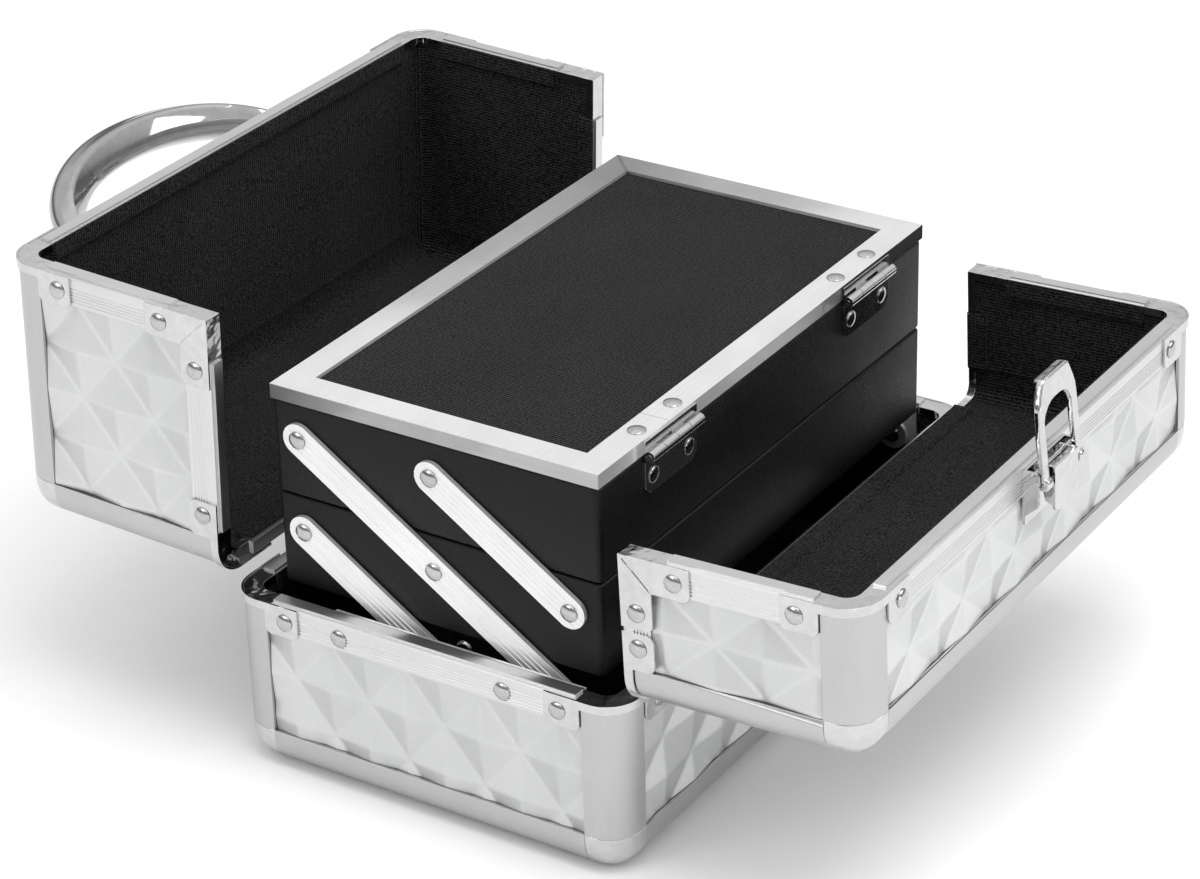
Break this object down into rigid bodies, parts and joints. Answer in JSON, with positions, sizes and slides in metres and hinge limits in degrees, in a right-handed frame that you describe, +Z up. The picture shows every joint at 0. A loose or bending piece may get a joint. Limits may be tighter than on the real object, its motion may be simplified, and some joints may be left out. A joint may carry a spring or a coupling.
{
  "type": "makeup train case",
  "caption": "Aluminium-framed hard case whose two lid shells open apart over cantilever trays, with a mirrored tray lid, bail handle and draw latch.",
  "frame": {"origin": "centre of the base's flat underside", "axes": "+Z up; the front lid and its latch open towards -Y, the rear lid and its handle towards +Y; +X along the case, to the right seen from the latch side"},
  "size_m": [0.232, 0.3762, 0.1623],
  "materials": {
    "board": "thin fibreboard",
    "embossed_skin": "silver sheet embossed with overlapping pyramids, satin pearl",
    "underside_sheet": "matt grained sheet",
    "lining": "black twill cloth, glued",
    "tray_board": "board wrapped in black grained cloth",
    "rim_aluminium": "bright anodised extrusion with fine ribs",
    "edge_aluminium": "satin anodised extrusion",
    "frame_aluminium": "lengthways brushed extrusion",
    "arm_steel": "rolled steel strip with fine lengthways ribs",
    "bright_steel": "pressed steel, bright nickel plate",
    "rivet_steel": "plated domed rivets",
    "hinge_steel": "pressed steel, nickel plate",
    "handle_chrome": "chrome plated moulding",
    "mirror_glass": "silvered glass"
  },
  "bodies": {
    "base": {"base_boards": "board", "base_skins": "embossed_skin", "base_underside_panel": "underside_sheet", "base_lining": "lining", "base_rim_extrusions": "rim_aluminium", "base_corner_posts": "edge_aluminium", "base_bottom_edges": "edge_aluminium", "base_ball_corners": "bright_steel", "base_rim_brackets": "bright_steel", "base_rivets": "rivet_steel", "arm_strips": "arm_steel", "arm_strip_rivets": "rivet_steel", "rear_hinge_base_leaves": "hinge_steel", "front_hinge_base_leaves": "hinge_steel"},
    "rear_lid": {"rear_lid_boards": "board", "rear_lid_skins": "embossed_skin", "rear_lid_lining": "lining", "rear_lid_rim_extrusions": "rim_aluminium", "rear_lid_edge_extrusions": "edge_aluminium", "rear_lid_ball_corners": "bright_steel", "rear_lid_rim_brackets": "bright_steel", "rear_lid_square_brackets": "bright_steel", "rear_lid_rivets": "rivet_steel", "rear_hinge_lid_leaves": "hinge_steel", "handle_mounts": "bright_steel", "latch_keeper": "bright_steel"},
    "handle": {"handle_grip": "handle_chrome"},
    "front_lid": {"front_lid_boards": "board", "front_lid_skins": "embossed_skin", "front_lid_lining": "lining", "front_lid_rim_extrusions": "rim_aluminium", "front_lid_edge_extrusions": "edge_aluminium", "front_lid_ball_corners": "bright_steel", "front_lid_rim_brackets": "bright_steel", "front_lid_square_brackets": "bright_steel", "front_lid_rivets": "rivet_steel", "front_hinge_lid_leaves": "hinge_steel", "latch_base": "bright_steel"},
    "latch_lever": {"latch_lever": "bright_steel", "latch_loop_pin": "rivet_steel"},
    "latch_loop": {"latch_loop": "bright_steel"},
    "lower_tray": {"lower_tray_boards": "tray_board", "lower_tray_lining": "lining", "lower_tray_rivets": "rivet_steel"},
    "upper_tray": {"upper_tray_boards": "tray_board", "upper_tray_lining": "lining", "upper_tray_rivets": "rivet_steel", "tray_hinge_leaves": "hinge_steel", "tray_hinge_rivets": "rivet_steel"},
    "tray_lid": {"tray_lid_frame": "frame_aluminium", "tray_lid_panel": "tray_board", "tray_lid_mirror": "mirror_glass", "tray_lid_hinge_leaves": "hinge_steel", "tray_lid_rivets": "rivet_steel"},
    "long_arm_left": {"long_arm_left": "arm_steel"},
    "lower_short_arm_left": {"lower_short_arm_left": "arm_steel"},
    "upper_short_arm_left": {"upper_short_arm_left": "arm_steel"},
    "long_arm_right": {"long_arm_right": "arm_steel"},
    "lower_short_arm_right": {"lower_short_arm_right": "arm_steel"},
    "upper_short_arm_right": {"upper_short_arm_right": "arm_steel"}
  },
  "joints": [
    {"name": "rear_lid_hinge", "type": "hinge", "parent": "base", "child": "rear_lid", "pos_m": [0, 0.07615, 0.0636], "axis": [-1, 0, 0], "range_deg": [-88, 0]},
    {"name": "front_lid_hinge", "type": "hinge", "parent": "base", "child": "front_lid", "pos_m": [0, -0.07615, 0.0636], "axis": [1, 0, 0], "range_deg": [-88, 0]},
    {"name": "handle_swing", "type": "hinge", "parent": "rear_lid", "child": "handle", "pos_m": [0, 0.16208, 0.13579], "axis": [1, 0, 0], "range_deg": [-98.5, 57.5]},
    {"name": "latch_lever_swing", "type": "hinge", "parent": "front_lid", "child": "latch_lever", "pos_m": [0, -0.16004, 0.11971], "axis": [-1, 0, 0], "range_deg": [0, 100]},
    {"name": "latch_loop_swing", "type": "hinge", "parent": "latch_lever", "child": "latch_loop", "pos_m": [0, -0.16294, 0.11691], "axis": [1, 0, 0], "range_deg": [0, 190]},
    {"name": "tray_lift", "type": "hinge", "parent": "base", "child": "long_arm_left", "pos_m": [0, -0.05, 0.0525], "axis": [1, 0, 0], "range_deg": [0, 59]},
    {"name": "long_arm_right_swing", "type": "hinge", "parent": "base", "child": "long_arm_right", "pos_m": [0, -0.05, 0.0525], "axis": [1, 0, 0], "range_deg": [0, 59]},
    {"name": "lower_tray_level", "type": "hinge", "parent": "long_arm_left", "child": "lower_tray", "pos_m": [0, 0, 0.0855], "axis": [1, 0, 0], "range_deg": [-59, 0]},
    {"name": "upper_tray_level", "type": "hinge", "parent": "long_arm_left", "child": "upper_tray", "pos_m": [0, 0.05, 0.1185], "axis": [1, 0, 0], "range_deg": [-59, 0]},
    {"name": "lower_short_arm_left_swing", "type": "hinge", "parent": "base", "child": "lower_short_arm_left", "pos_m": [0, 0, 0.0525], "axis": [1, 0, 0], "range_deg": [0, 59]},
    {"name": "upper_short_arm_left_swing", "type": "hinge", "parent": "lower_tray", "child": "upper_short_arm_left", "pos_m": [0, -0.05, 0.0855], "axis": [1, 0, 0], "range_deg": [0, 59]},
    {"name": "lower_short_arm_right_swing", "type": "hinge", "parent": "base", "child": "lower_short_arm_right", "pos_m": [0, 0, 0.0525], "axis": [1, 0, 0], "range_deg": [0, 59]},
    {"name": "upper_short_arm_right_swing", "type": "hinge", "parent": "lower_tray", "child": "upper_short_arm_right", "pos_m": [0, -0.05, 0.0855], "axis": [1, 0, 0], "range_deg": [0, 59]},
    {"name": "tray_lid_hinge", "type": "hinge", "parent": "upper_tray", "child": "tray_lid", "pos_m": [0, -0.0628, 0.1297], "axis": [1, 0, 0], "range_deg": [0, 105]}
  ],
  "couplings": [
    {"joint": "latch_loop_swing", "follows": "latch_lever_swing", "ratio": 1.9},
    {"joint": "long_arm_right_swing", "follows": "tray_lift", "ratio": 1},
    {"joint": "lower_tray_level", "follows": "tray_lift", "ratio": -1},
    {"joint": "upper_tray_level", "follows": "tray_lift", "ratio": -1},
    {"joint": "lower_short_arm_left_swing", "follows": "tray_lift", "ratio": 1},
    {"joint": "upper_short_arm_left_swing", "follows": "tray_lift", "ratio": 1},
    {"joint": "lower_short_arm_right_swing", "follows": "tray_lift", "ratio": 1},
    {"joint": "upper_short_arm_right_swing", "follows": "tray_lift", "ratio": 1}
  ]
}
